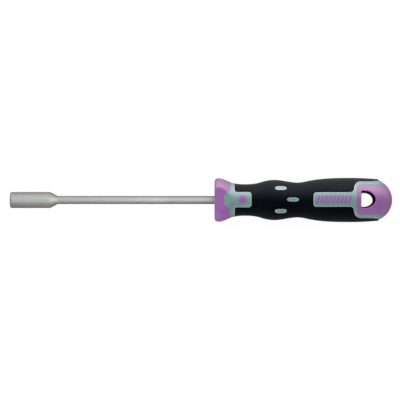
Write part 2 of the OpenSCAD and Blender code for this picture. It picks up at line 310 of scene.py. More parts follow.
def satin_chrome(name, along, across):
    material, node = new_material(name)
    place = node("ShaderNodeTexCoord").outputs["Object"]
    stretched = node("ShaderNodeMapping", {"Vector": place, "Scale": (1 / along, 1 / across, 1 / across)})
    marks = node("ShaderNodeTexNoise", {"Vector": stretched, "Scale": 1.0, "Detail": 3.0, "Roughness": 0.6})
    cloud = node("ShaderNodeTexNoise", {"Vector": place, "Scale": 1 / CLOUD_SIZE, "Detail": 2.0})
    colour = node("ShaderNodeMixRGB", {
        "Fac": cloud, "Color1": linear("#858787"), "Color2": linear("#8d8e8e")})
    lay_surface(node, {"Base Color": colour, "Metallic": 1.0}, matt=marks, matt_range=(0.51, 0.57),
                relief=marks, strength=0.05, depth=0.02 * MM)
    return material


socket_chrome = satin_chrome("satin chrome ground round", GRIND_STEP, GRIND_LENGTH)
shank_chrome = satin_chrome("satin chrome drawn along", GRIND_LENGTH, GRIND_STEP)
print("made", socket_chrome.name, "and", shank_chrome.name)

# %% [markdown]
# ## Materials: moulded polypropylene
#
# The core and sleeve are polypropylene, moulded against spark-eroded steel. That leaves a fine matt grain,
# a soft wide shine and a colour that swims slightly from the flow. The edges get a paler colour, a painted
# highlight: for that each mesh carries a value that is 1 on an edge and fades to 0 inside, which the
# material reads.
# The wall of the hanging hole is painted in shade, nearly black and without shine: it is the same plastic
# with other values, as a finish of its own for those faces. The plastic's index is 1.49. The other two get
# a higher one, because they mirror the pale side more than that gives.

# %% Moulded polypropylene
# A value on each mesh, 1 on an edge and fading to 0 inside, for the painted highlight along edges.
EDGE_HIGHLIGHT = "painted_edge_highlight"
FLOW_SIZE = 9 * MM
# The spark-eroded grain is about 0.1 mm: drawn at 0.8 mm, so that it shows.
SPARK_GRAIN = 0.8 * MM


def moulded_plastic(name, deep, pale, highlighted, highlight_share, shine, index, gloss=1.0):
    material, node = new_material(name)
    place = node("ShaderNodeTexCoord").outputs["Object"]
    flow = node("ShaderNodeTexNoise", {"Vector": place, "Scale": 1 / FLOW_SIZE, "Detail": 3.0})
    grain = node("ShaderNodeTexNoise", {"Vector": place, "Scale": 1 / SPARK_GRAIN, "Detail": 2.0})
    body = node("ShaderNodeMixRGB", {"Fac": flow, "Color1": linear(deep), "Color2": linear(pale)})
    # The paler colour mixed in along the edges is a painted highlight.
    edge = node("ShaderNodeAttribute", attribute_name=EDGE_HIGHLIGHT).outputs["Fac"]
    rub = node("ShaderNodeMath", {0: edge, 1: highlight_share}, operation="MULTIPLY")
    highlit = node("ShaderNodeMixRGB", {"Fac": rub, "Color1": body, "Color2": linear(highlighted)})
    surface = {"Base Color": highlit, "IOR": index, "Specular IOR Level": gloss, "Specular Tint": linear(shine)}
    lay_surface(
        node, surface, matt=grain, matt_range=(0.40, 0.48), relief=grain, strength=0.10, depth=0.06 * MM)
    return material


purple_plastic = moulded_plastic(
    "purple moulded polypropylene", deep="#9558aa", pale="#9c5fb1", highlighted="#b58dba", highlight_share=0.35,
    shine="#fff2c0", index=1.88)
green_plastic = moulded_plastic(
    "grey-green moulded polypropylene", deep="#719391", pale="#799a98", highlighted="#d2dfe0", highlight_share=0.65,
    shine="#f2f6ff", index=2.0)
# Painted shade for the wall of the hanging hole: a nearly black purple without shine.
hole_shade_plastic = moulded_plastic(
    "hole wall polypropylene in painted shade", deep="#3c1038", pale="#43143e", highlighted="#40123b", highlight_share=0.0,
    shine="#ffffff", index=1.49, gloss=0.0)
print("made", ", ".join(m.name for m in (purple_plastic, green_plastic, hole_shade_plastic)))

# %% [markdown]
# ## Materials: soft elastomer
#
# The grip is a thermoplastic elastomer filled with carbon black. It is very dark, with a dull skin that
# lights up only where it mirrors the pale side at a grazing angle. The skin has a fine leathery grain, with
# smoother patches where it is handled, so the roughness wanders a little.

# %% Soft elastomer
# The skin's grain is about 0.15 mm: drawn at 0.9 mm, so that it shows.
SKIN_GRAIN, HANDLED_SIZE = 0.9 * MM, 14 * MM
black_elastomer, node = new_material("black soft elastomer")
place = node("ShaderNodeTexCoord").outputs["Object"]
grain = node("ShaderNodeTexNoise", {"Vector": place, "Scale": 1 / SKIN_GRAIN, "Detail": 3.0})
handled = node("ShaderNodeTexNoise", {"Vector": place, "Scale": 1 / HANDLED_SIZE, "Detail": 2.0})
colour = node("ShaderNodeMixRGB", {"Fac": grain, "Color1": linear("#040509"), "Color2": linear("#06080d")})
surface = {
    "Base Color": colour, "IOR": 1.5, "Specular IOR Level": 0.18, "Specular Tint": linear("#def2ff")}
lay_surface(
    node, surface, matt=handled, matt_range=(0.40, 0.48), relief=grain, strength=0.12, depth=0.08 * MM)
print("made", black_elastomer.name)

# %% [markdown]
# ## From a recipe to a plain mesh
#
# Geometry Nodes are a recipe on a modifier, and the model is wanted as plain meshes. So a piece gets its
# recipe and the sizes for it, the result is read back as a mesh, and the recipe goes. Then the mesh is
# settled: doubles are merged, faces are turned outwards, and edges sharper than a set angle are marked, so
# that smooth shading stops there. The number of open edges tells whether the piece is closed. Both recipes of
# this lesson start and end in the same way, so that has two functions as well.

# %% Growing and settling a mesh
SHARP_ANGLE = math.radians(32)
MERGE_DISTANCE = 1e-6  # metres


def settle(mesh):
    work = bmesh.new()
    work.from_mesh(mesh)
    bmesh.ops.remove_doubles(work, verts=work.verts, dist=MERGE_DISTANCE)
    bmesh.ops.dissolve_degenerate(work, edges=work.edges, dist=MERGE_DISTANCE)
    bmesh.ops.recalc_face_normals(work, faces=work.faces)
    open_edges = sum(len(e.link_faces) != 2 for e in work.edges)
    work.to_mesh(mesh)
    work.free()
    mesh.shade_smooth()
    mesh.set_sharp_from_angle(angle=SHARP_ANGLE)
    print(mesh.name, "faces", len(mesh.polygons), "open edges", open_edges)


def grown(name, start, tree, identifiers, values):
    piece = place_object(name, start)
    recipe = piece.modifiers.new(name, "NODES")
    recipe.node_group = tree
    for key, value in values.items():
        recipe[identifiers[key]] = value
    bpy.context.view_layer.update()
    ready = piece.evaluated_get(bpy.context.evaluated_depsgraph_get())
    mesh = bpy.data.meshes.new_from_object(ready)
    piece.modifiers.clear()
    piece.data = mesh
    bpy.data.meshes.remove(start)
    mesh.name = name
    settle(mesh)
    return piece


def new_tree(name, inputs, result):
    tree = bpy.data.node_groups.new(name, "GeometryNodeTree")
    identifiers = {
        key: tree.interface.new_socket(key, in_out="INPUT", socket_type="NodeSocket" + kind).identifier
        for key, kind in inputs.items()}
    tree.interface.new_socket(result, in_out="OUTPUT", socket_type="NodeSocketGeometry")
    return tree, identifiers, partial(add, tree)


def end_tree(node, geometry, finish, result):
    real = node("GeometryNodeRealizeInstances", {"Geometry": geometry})
    dressed = node("GeometryNodeSetMaterial", {"Geometry": real, "Material": finish})
    node("NodeGroupOutput", {result: dressed})


print("edges over", round(math.degrees(SHARP_ANGLE)), "degrees stay sharp")

# %% [markdown]
# ## Turning, as Geometry Nodes
#
# The socket is a turned piece: one profile, carried round the axis. Its hollow follows the same rule, apart
# from the hexagon, where the wall's distance from the axis swings between flat and corner six times. So one
# tree does both. It lays a grid with a row for each profile point, and moves each grid point to its place
# round the axis. A profile point that has an apothem, half the size across flats, is pushed out to the
# hexagon where that is further out than its own radius, which also cuts the lead-in cone into the corners.

# %% The turning tree
APOTHEM = "apothem"
HEX_SIDES = 6


def turning_tree():
    tree, identifiers, node = new_tree(
        "turned_piece", {"Profile": "Geometry", "Segments": "Int", "Finish": "Material"}, "Piece")
    given = node("NodeGroupInput").outputs
    count = node("GeometryNodeAttributeDomainSize", {0: given["Profile"]}).outputs["Point Count"]
    last = node("ShaderNodeMath", {0: count, 1: 1.0}, operation="SUBTRACT")
    rows = node("ShaderNodeMath", {0: given["Segments"], 1: 1.0}, operation="ADD")
    grid = node("GeometryNodeMeshGrid", {
        "Size X": 1.0, "Size Y": 1.0, "Vertices X": count, "Vertices Y": rows})
    here = node("GeometryNodeInputPosition")
    spot = node("ShaderNodeSeparateXYZ", {0: here}).outputs
    along, turn = [node("ShaderNodeMath", {0: spot[i], 1: 0.5}, operation="ADD") for i in (0, 1)]
    step = node("ShaderNodeMath", {0: along, 1: last}, operation="MULTIPLY")
    index = node("ShaderNodeMath", {0: step}, operation="ROUND")
    angle = node("ShaderNodeMath", {0: turn, 1: math.tau}, operation="MULTIPLY")
    apothem = node("GeometryNodeInputNamedAttribute", {"Name": APOTHEM}, data_type="FLOAT")
    point, flat = [
        node("GeometryNodeSampleIndex", {
            "Geometry": given["Profile"], "Value": value, "Index": index}, data_type=kind, domain="POINT")
        for value, kind in ((here, "FLOAT_VECTOR"), (apothem, "FLOAT"))]
    profile = node("ShaderNodeSeparateXYZ", {0: point}).outputs
    part = node("ShaderNodeMath", {0: angle, 1: math.tau / HEX_SIDES}, operation="MODULO")
    swing = node("ShaderNodeMath", {0: part, 1: math.pi / HEX_SIDES}, operation="SUBTRACT")
    ease = node("ShaderNodeMath", {0: swing}, operation="COSINE")
    reach = node("ShaderNodeMath", {0: flat, 1: ease}, operation="DIVIDE")
    radius = node("ShaderNodeMath", {0: profile[1], 1: reach}, operation="MAXIMUM")
    sine, cosine = [node("ShaderNodeMath", {0: angle}, operation=kind) for kind in ("SINE", "COSINE")]
    y, z = [node("ShaderNodeMath", {0: radius, 1: way}, operation="MULTIPLY") for way in (sine, cosine)]
    place = node("ShaderNodeCombineXYZ", {0: profile[0], 1: y, 2: z})
    moved = node("GeometryNodeSetPosition", {"Geometry": grid, "Position": place})
    closed = node("GeometryNodeMergeByDistance", {"Geometry": moved, "Distance": MERGE_DISTANCE})
    end_tree(node, closed, given["Finish"], "Piece")
    return tree, identifiers


turning, turning_inputs = turning_tree()
print("turning tree:", len(turning.nodes), "nodes")

# %% [markdown]
# ## The socket
#
# The socket is cold formed: a barrel with a rounded mouth edge, a cone down to the shank, and a hexagon that
# is punched deep, with a drilled room behind it for a screw's end. The profile starts at the drill's point,
# comes forward through the hollow, turns round the mouth and runs back along the outside to the spigot hole.
# Close rows beside each rounding keep the smooth shading of the barrel flat.

# %% Rounded corners
ARC_STEP = math.radians(6)
LONG_RUN, CLOSE_ROW = 1.5, 0.12


def corner_arc(before, at, after, radius):
    before, at, after = (np.array(p, float) for p in (before, at, after))
    u = (before - at) / np.linalg.norm(before - at)
    v = (after - at) / np.linalg.norm(after - at)
    half_angle = math.acos(np.clip(u @ v, -1, 1)) / 2
    centre = at + (u + v) / np.linalg.norm(u + v) * radius / math.sin(half_angle)
    start = at + u * radius / math.tan(half_angle) - centre
    end = at + v * radius / math.tan(half_angle) - centre
    sweep = math.atan2(start[0] * end[1] - start[1] * end[0], start @ end)
    first = math.atan2(start[1], start[0])
    steps = max(2, math.ceil(abs(sweep) / ARC_STEP))
    angles = [first + sweep * i / steps for i in range(steps + 1)]
    return [centre + radius * np.array([math.cos(a), math.sin(a)]) for a in angles]


def rounded_path(corners):
    points = []
    for i, (x, y, radius) in enumerate(corners):
        if radius == 0:
            points.append(np.array([x, y], float))
        else:
            after = corners[(i + 1) % len(corners)]
            points += corner_arc(corners[i - 1][:2], (x, y), after[:2], radius)
    return np.array(points)


def with_close_rows(points):
    rows = [points[0]]
    for a, b in zip(points[:-1], points[1:]):
        length = np.linalg.norm(b - a)
        if length > LONG_RUN:
            rows += [a + (b - a) * CLOSE_ROW / length, b - (b - a) * CLOSE_ROW / length]
        rows.append(b)
    return np.array(rows)


print("points on a rounded right angle:", len(corner_arc((1, 0), (0, 0), (0, 1), 1)))

# %% Socket profile
HEX_HALF, HEX_DEPTH = 3.03, 12.0
LEAD_PAST_CORNER, LEAD_ROWS = 0.2, 8
LEAD_R = HEX_HALF / math.cos(math.pi / HEX_SIDES) + LEAD_PAST_CORNER
DRILL_R, DRILL_END, DRILL_HALF_ANGLE = 2.5, 18.0, math.radians(59)
DRILL_TIP = DRILL_R / math.tan(DRILL_HALF_ANGLE)
SOCKET_R, BARREL, MOUTH_EDGE = 4.9, 24.5, 1.0
NECK, SHOULDER_R, NECK_BLEND_R = 4.5, 1.2, 3.0
SHANK_R, SPIGOT_R, SPIGOT, SPIGOT_CHAMFER = 2.5, 1.7, 8.0, 0.4
NECK_SLOPE = math.atan((SOCKET_R - SHANK_R) / NECK)
SOCKET_END = BARREL + NECK + NECK_BLEND_R * math.tan(NECK_SLOPE / 2)
HEX_ROW, RIM_ROW = 0.1, 0.05
# A point of the profile: place along the axis, radius, apothem.
lead_rows = [(x, LEAD_R - x, HEX_HALF) for x in np.linspace(LEAD_R - HEX_HALF, 0, LEAD_ROWS)]
hollow = [
    (DRILL_END + DRILL_TIP, 0, 0), (DRILL_END, DRILL_R, 0), (HEX_DEPTH, DRILL_R, 0), (HEX_DEPTH, 0, HEX_HALF),
    (HEX_DEPTH - HEX_ROW, 0, HEX_HALF), (LEAD_R - HEX_HALF + HEX_ROW, 0, HEX_HALF), *lead_rows]
outside = with_close_rows(rounded_path([
    (0, LEAD_R + RIM_ROW, 0), (0, SOCKET_R, MOUTH_EDGE), (BARREL, SOCKET_R, SHOULDER_R),
    (BARREL + NECK, SHANK_R, NECK_BLEND_R), (SOCKET_END, SHANK_R, 0)]))
spigot_hole = [
    (SOCKET_END, SPIGOT_R, 0), (SOCKET_END - SPIGOT + SPIGOT_CHAMFER, SPIGOT_R, 0),
    (SOCKET_END - SPIGOT, SPIGOT_R - SPIGOT_CHAMFER, 0), (SOCKET_END - SPIGOT, 0, 0)]
socket_profile = [*hollow, *[(x, r, 0) for x, r in outside], *spigot_hole]
print("socket profile:", len(socket_profile), "points, length", round(SOCKET_END, 2), "mm")

# %% Turn the socket
SEGMENTS = 120
profile_mesh = bpy.data.meshes.new("socket profile")
profile_mesh.from_pydata([(x * MM, r * MM, 0) for x, r, _ in socket_profile], [], [])
apothems = profile_mesh.attributes.new(APOTHEM, "FLOAT", "POINT")
apothems.data.foreach_set("value", [flat * MM for _, _, flat in socket_profile])
turned_socket = grown(
    "turned_socket", profile_mesh, turning, turning_inputs, {"Segments": SEGMENTS, "Finish": socket_chrome})
steel.objects.link(turned_socket)
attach(turned_socket, "root")
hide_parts("socket")

# %% [markdown]
# ## The shank
#
# The shank is a drawn round bar, and the CAD solid has its true shape, with the spigot and the two drive
# wings that are hidden in the handle. So the solid stays and only gets its finish.

# %% Finish the shank
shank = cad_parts["shank"]
shank.data.materials.clear()
shank.data.materials.append(shank_chrome)
steel.objects.link(shank)

# %% [markdown]
# ## The handle's outline
#
# All three shots share one outline, a smooth line from the collar over flare, neck, belly and waist to the
# palm. It passes through a few stations, each with a radius and a slope, and a cubic joins each pair. Behind
# the grip's end a short cone leads down to a ball. A soft minimum of the two lines rounds the corner.

# %% Outline functions
BLADE = 125.0
# Each station: place behind the collar's face, radius, slope. In order they are the collar, the flare, the
# neck, the rise to the belly, the belly, the waist, the rise to the palm, the palm and the grip's end.
STATIONS = np.array([
    (2.5, 13.3, 0.0), (8.6, 11.4, -0.45), (18.4, 9.65, 0.0), (28.2, 10.9, 0.33), (36.7, 12.35, 0.0),
    (50.8, 10.7, 0.0), (57.5, 11.75, 0.2), (84.0, 13.545, 0.0), (100.2, 12.75, -0.08)])
NECK_AT, GRIP_END = STATIONS[[2, -1], 0]
COLLAR_EDGE, FLAT_Z, FLAT_BLEND = 2.0, 10.9, 0.45
BALL_AT, BALL_R = 95.7, 12.9
END_CONE, CONE_BLEND = math.radians(36.5), 2.2
HANDLE_END = BALL_AT + BALL_R


def soft_least(value, limit, blend):
    share = np.clip(0.5 + 0.5 * (limit - value) / blend, 0, 1)
    return limit + (value - limit) * share - blend * share * (1 - share)


def grip_radius(h):
    h = np.asarray(h, float)
    held = np.clip(h, STATIONS[0, 0], GRIP_END)
    i = np.clip(np.searchsorted(STATIONS[:, 0], held, side="right") - 1, 0, len(STATIONS) - 2)
    (ax, ar, am), (bx, br, bm) = STATIONS[i].T, STATIONS[i + 1].T
    span = bx - ax
    t = (held - ax) / span
    r = (ar * (2 * t**3 - 3 * t**2 + 1) + br * (3 * t**2 - 2 * t**3)
         + am * span * (t**3 - 2 * t**2 + t) + bm * span * (t**3 - t**2))
    return r + STATIONS[-1, 2] * np.maximum(h - GRIP_END, 0)


def hard_radius(h):
    h = np.asarray(h, float)
    foot_at, foot_r = BALL_AT + BALL_R * math.sin(END_CONE), BALL_R * math.cos(END_CONE)
    cone = foot_r + (foot_at - h) * math.tan(END_CONE)
    ball = np.sqrt(np.maximum(BALL_R**2 - np.maximum(h - BALL_AT, 0) ** 2, 0))
    return np.where(h > foot_at, ball, soft_least(grip_radius(h), cone, CONE_BLEND))


print("radius at each station:", np.round(hard_radius(STATIONS[:, 0]), 2))

# %% [markdown]
# ## A flat chart of the handle's skin
#
# The shots meet along lines that are drawn from above: a nose, a tab, finger pads, a plate, a surround and a
# cap. To mesh the skin between such lines, it is laid out flat, like a map: the place along the handle one
# way and the distance round it the other way. Round the ball at the end the map is round, as a map of the
# pole is: a direction and an angle from straight up, seen from the ball's centre. Triangles are made on the
# map and lifted to the handle. One half is enough, from side to side over the top, because the mould's
# halves are mirror images.

# %% Chart to handle
QUARTER = BALL_R * math.pi / 2
TAIL_SAMPLES = 4000
tail_h = np.linspace(BALL_AT, HANDLE_END, TAIL_SAMPLES)
tail_lean = np.arctan2(tail_h - BALL_AT, hard_radius(tail_h))
tail_reach = np.hypot(tail_h - BALL_AT, hard_radius(tail_h))


def on_grip(chart, depth=0.0):
    h, angle = chart[:, 0] + BALL_AT, chart[:, 1] / BALL_R
    r = grip_radius(h) - depth
    return np.stack([h, r * np.sin(angle), r * np.cos(angle)], 1)


def on_hard(chart, depth=0.0):
    a, b = chart[:, 0], chart[:, 1]
    depth = np.broadcast_to(depth, a.shape)
    h, angle = a + BALL_AT, b / BALL_R
    bend = np.clip((COLLAR_EDGE - h) / COLLAR_EDGE, 0, math.pi / 2)
    r = hard_radius(h) - COLLAR_EDGE * (1 - np.cos(bend)) - depth
    x = np.where(h < COLLAR_EDGE, COLLAR_EDGE * (1 - np.sin(bend)), h)
    z = r * np.cos(angle)
    z = np.where(h < NECK_AT, soft_least(z, FLAT_Z, FLAT_BLEND), z)
    body = np.stack([x, r * np.sin(angle), z], 1)
    tilt, heading = np.hypot(a, b) / BALL_R, np.arctan2(b, a)
    way = np.stack([np.sin(tilt) * np.cos(heading), np.sin(tilt) * np.sin(heading), np.cos(tilt)], 1)
    reach = np.interp(np.arcsin(np.clip(way[:, 0], -1, 1)), tail_lean, tail_reach) - depth
    tail = way * reach[:, None] + (BALL_AT, 0, 0)
    return np.where((a > 0)[:, None], tail, body)


def chart_of(h, angle):
    h, angle = np.asarray(h, float), np.asarray(angle, float)
    out, r = np.maximum(h - BALL_AT, 0), hard_radius(h)
    tilt = np.arctan2(np.hypot(out, r * np.sin(angle)), r * np.cos(angle))
    heading = np.arctan2(r * np.sin(angle), out)
    tail = BALL_R * tilt[:, None] * np.stack([np.cos(heading), np.sin(heading)], 1)
    return np.where((h > BALL_AT)[:, None], tail, grip_chart_of(h, angle))


def grip_chart_of(h, angle):
    return np.stack([np.asarray(h, float) - BALL_AT, BALL_R * np.asarray(angle, float)], 1)


print("chart is", round(2 * QUARTER, 2), "mm across")

# %% [markdown]
# ## The shut-off lines
#
# Each line is drawn from above as corners with roundings, for one side of the axis. It is then turned into
# places along and round the handle, carried on round to the handle's side where it ends at the mould's
# parting line, and joined to its mirror image.

# %% Lines from above
LINE_STEP = 0.5
STEP_SLACK = 1e-9  # keeps a run of whole steps from gaining one
# Each corner: place behind the collar's face, distance from the axis, rounding.
NOSE = [(5.6, 0, 0), (5.6, 2.6, 3.5), (9.5, 6.3, 1.5), (9.5, 8.0, 0)]
TAB = [(22.4, 0, 0), (22.4, 4.7, 1.8), (12.2, 4.7, 1.5), (12.2, 7.0, 0)]
PLATE = [
    (59.9, 0, 0), (59.9, 4.5, 1.8), (84.2, 4.5, 2.5), (85.1, 11.25, 4.25), (GRIP_END - 3.5, 11.25, 3.5),
    (GRIP_END, 12.2, 0.6), (GRIP_END, 12.7, 0)]


def spaced(points, step=LINE_STEP):
    rows = [points[0]]
    for a, b in zip(points[:-1], points[1:]):
        n = max(1, math.ceil(np.linalg.norm(b - a) / step - STEP_SLACK))
        rows += [a + (b - a) * i / n for i in range(1, n + 1)]
    return np.array(rows)


def spaced_ring(points):
    return spaced(np.vstack([points, points[:1]]))[:-1]


def half_line(corners, radius_at):
    path = spaced(rounded_path(corners))
    h = path[:, 0]
    return h, np.arcsin(np.clip(path[:, 1] / radius_at(h), -1, 1))


def round_to_side(h, angle):
    steps = math.ceil((math.pi / 2 - angle[-1]) * BALL_R / LINE_STEP)
    more = np.linspace(angle[-1], math.pi / 2, steps + 1)[1:]
    return np.append(h, np.full(len(more), h[-1])), np.append(angle, more)


def both_sides(h, angle):
    return np.append(h[:0:-1], h), np.append(-angle[:0:-1], angle)


nose_line, tab_line, plate_line = [
    both_sides(*round_to_side(*half_line(corners, grip_radius))) for corners in (NOSE, TAB, PLATE)]
print("points on nose, tab and plate lines:", [len(line[0]) for line in (nose_line, tab_line, plate_line)])

# %% The cap's line, which runs on over the ball
CAP_AT, CAP_HALF, CAP_CORNER = 86.4, 9.15, 2.6
CAP_TAIL_STEPS = 30
cap_h, cap_angle = half_line(
    [(CAP_AT, 0, 0), (CAP_AT, CAP_HALF, CAP_CORNER), (BALL_AT, CAP_HALF, 0)], hard_radius)
cap_end = np.interp(-CAP_HALF, -hard_radius(tail_h), tail_h)
over_h = BALL_AT + (cap_end - BALL_AT) * np.sin(np.linspace(0, math.pi / 2, CAP_TAIL_STEPS + 1)[1:])
over_z = np.sqrt(np.maximum(hard_radius(over_h) ** 2 - CAP_HALF**2, 0))
over_z[-1] = 0
cap_half_chart = np.vstack([chart_of(cap_h, cap_angle), chart_of(over_h, np.arctan2(CAP_HALF, over_z))])
cap_chart = np.vstack([cap_half_chart[:0:-1] * (1, -1), cap_half_chart])
print("cap line:", len(cap_chart), "points")

# %% [markdown]
# ## Finger pads
#
# Three pads of the hard sleeve show through the grip on each face, where the fingers turn the tool. Each is a
# short bar with half an ellipse at both ends. A stretched circle would be simpler, but it has no straight
# sides.

# %% Finger pads
PAD_LEN, PAD_W, PAD_TIP, PAD_TURNS = 7.1, 2.4, 2.1, 15
PADS = [(40.2, -7.05), (40.2, 7.05), (47.5, 0.0)]


def pad_line(at, y):
    bend = PAD_LEN / 2 - PAD_TIP
    turns = np.linspace(-math.pi / 2, math.pi / 2, PAD_TURNS)
    ends = [s * np.stack([bend + PAD_TIP * np.cos(turns), PAD_W / 2 * np.sin(turns)], 1) for s in (1, -1)]
    path = spaced_ring(np.vstack(ends) + (at, y))
    return path[:, 0], np.arcsin(path[:, 1] / grip_radius(path[:, 0]))


pad_lines = [pad_line(*pad) for pad in PADS]
print("finger pads:", len(pad_lines), "on each face")

# %% [markdown]
# ## The hanging hole
#
# The hole for a hook has the shape of a D: a straight front with small corners, and half an ellipse behind.
# The two pins of the mould that form it are tapered, so it narrows to the middle. How wide it is at the skin
# depends on the skin's height there, and that on the place. It could be cut with a Boolean, but a few rounds
# of looking up the height give the line itself, and the mesh can follow it.

# %% The hanging hole
HOLE_LEN, HOLE_W, HOLE_SIDE, HOLE_CORNER = 6.9, 8.4, 1.3, 0.9
HOLE_AT, HOLE_TURNS, HOLE_ROUNDS = 93.25, 49, 12
HOLE_DRAFT = math.radians(5)
HOLE_WIDEN = 2 * math.tan(HOLE_DRAFT) / HOLE_W


def hole_ring():
    front, bend = -HOLE_LEN / 2, -HOLE_LEN / 2 + HOLE_SIDE
    turns = np.linspace(-math.pi / 2, math.pi / 2, HOLE_TURNS)
    back = np.stack([bend + (HOLE_LEN - HOLE_SIDE) * np.cos(turns), HOLE_W / 2 * np.sin(turns)], 1)
    lower = corner_arc((front, 0), (front, -HOLE_W / 2), (bend, -HOLE_W / 2), HOLE_CORNER)
    upper = corner_arc((bend, HOLE_W / 2), (front, HOLE_W / 2), (front, 0), HOLE_CORNER)
    return spaced_ring(np.vstack([lower, back, upper]))


def hole_at_height(z):
    return (HOLE_AT, 0) + ring * (1 + HOLE_WIDEN * np.asarray(z))[:, None]


ring = hole_ring()
hole_z = np.full(len(ring), BALL_R)
for _ in range(HOLE_ROUNDS):
    plan = hole_at_height(hole_z)
    hole_z = np.sqrt(hard_radius(plan[:, 0]) ** 2 - plan[:, 1] ** 2)
hole_chart = chart_of(plan[:, 0], np.arctan2(plan[:, 1], hole_z))
print("hole at the skin, mm:", np.round(np.ptp(plan, axis=0), 2), "height", np.round(hole_z.min(), 2))

# %% [markdown]
# ## Meshing one patch of skin
#
# A patch is bounded by shut-off lines and by stretches of the parting line. Beside each shut-off line a few
# more rows follow it, and they drop in a quarter circle, so that every shot has a small rounded edge and two
# shots leave a fine groove between them. Constrained Delaunay triangles fill the rest. The alternatives,
# Boolean cuts and a bevel, leave thin triangles and broken edges on such lines.

# %% Two charts and their parting lines
RUN_SAMPLES = 40


class Chart:
    """The chart of one half of the skin, whose edge is the parting line.

    A place on the edge is a distance, walked along the picture's upper side, round the end and back along
    the lower side. A chart without a round end counts its lower side from far behind the grip.
    """

    def __init__(self, round_end):
        self.round_end = round_end
        self.far = math.pi * QUARTER if round_end else 4 * GRIP_END

    def parting_points(self, s):
        s = np.asarray(s, float)
        upper = np.stack([s, np.full(s.shape, QUARTER)], 1)
        lower = np.stack([self.far - s, np.full(s.shape, -QUARTER)], 1)
        if not self.round_end:
            return np.where((s < self.far / 2)[:, None], upper, lower)
        heading = math.pi / 2 - s / QUARTER
        ball = QUARTER * np.stack([np.cos(heading), np.sin(heading)], 1)
        return np.where((s <= 0)[:, None], upper, np.where((s >= self.far)[:, None], lower, ball))

    def parting_place(self, p):
        if p[0] <= 0 or not self.round_end:
            return p[0] if p[1] > 0 else self.far - p[0]
        return (math.pi / 2 - math.atan2(p[1], p[0])) * QUARTER

    def runs_between(self, front, rear):
        place = self.parting_place
        return [(place(front[-1]), place(rear[-1])), (place(rear[0]), place(front[0]))]

    def loop_between(self, front, rear):
        upper, lower = [self.parting_points(np.linspace(*run, RUN_SAMPLES)[1:-1])
                        for run in self.runs_between(front, rear)]
        return np.vstack([front, upper, rear[::-1], lower])


grip_skin, hard_skin = Chart(round_end=False), Chart(round_end=True)
print("parting line round the ball, on the chart:", round(hard_skin.far, 1), "mm")

# %% Helpers for a patch
BLOCK = 1500  # points whose distances are worked out at once
FILL_GAP = 0.6  # how near a point may come to a line, as a share of the step


def beside(line, closed):
    if closed:
        run = np.roll(line, -1, 0) - np.roll(line, 1, 0)
    else:
        run = np.vstack([line[1:], line[-1:]]) - np.vstack([line[:1], line[:-1]])
    run = run / np.linalg.norm(run, axis=1)[:, None]
    return np.stack([-run[:, 1], run[:, 0]], 1)


def inside(points, loops):
    within = np.zeros(len(points), bool)
    for loop in loops:
        for (ax, ay), (bx, by) in zip(loop, np.roll(loop, -1, 0)):
            if ay == by:
                continue
            crosses = (ay > points[:, 1]) != (by > points[:, 1])
            within ^= crosses & (points[:, 0] < ax + (points[:, 1] - ay) / (by - ay) * (bx - ax))
    return within


def distance_to(points, marks):
    blocks = np.array_split(points, max(1, len(points) // BLOCK))
    return np.concatenate([np.sqrt(((b[:, None] - marks[None]) ** 2).sum(2).min(1)) for b in blocks])


def fill_points(lines, loops, step):
    low, high = lines.min(0), lines.max(0)
    rows = np.arange(low[0], high[0], step * math.sin(math.pi / 3))
    places = np.arange(low[1], high[1], step)
    fill = np.array([(x, y + i % 2 * step / 2) for i, x in enumerate(rows) for y in places])
    fill = fill[inside(fill, loops)]
    return fill[distance_to(fill, lines) > FILL_GAP * step]


print("the hole's middle is inside its line:", inside(np.array([[HOLE_AT - BALL_AT, 0.0]]), [hole_chart])[0])

# %% Patch builder
EDGE_SHARES = (0.0, 0.08, 0.3, 0.62, 1.0)
# How far in from a line the painted highlight along the edges reaches.
HIGHLIGHT_REACH = 0.6
END_SLACK, CDT_SLACK = 1e-6, 1e-7
RUN_GAP = 1 / 3  # how near two points of a run may come, as a share of the step
Patch = namedtuple("Patch", "flat drop owner faces rub")


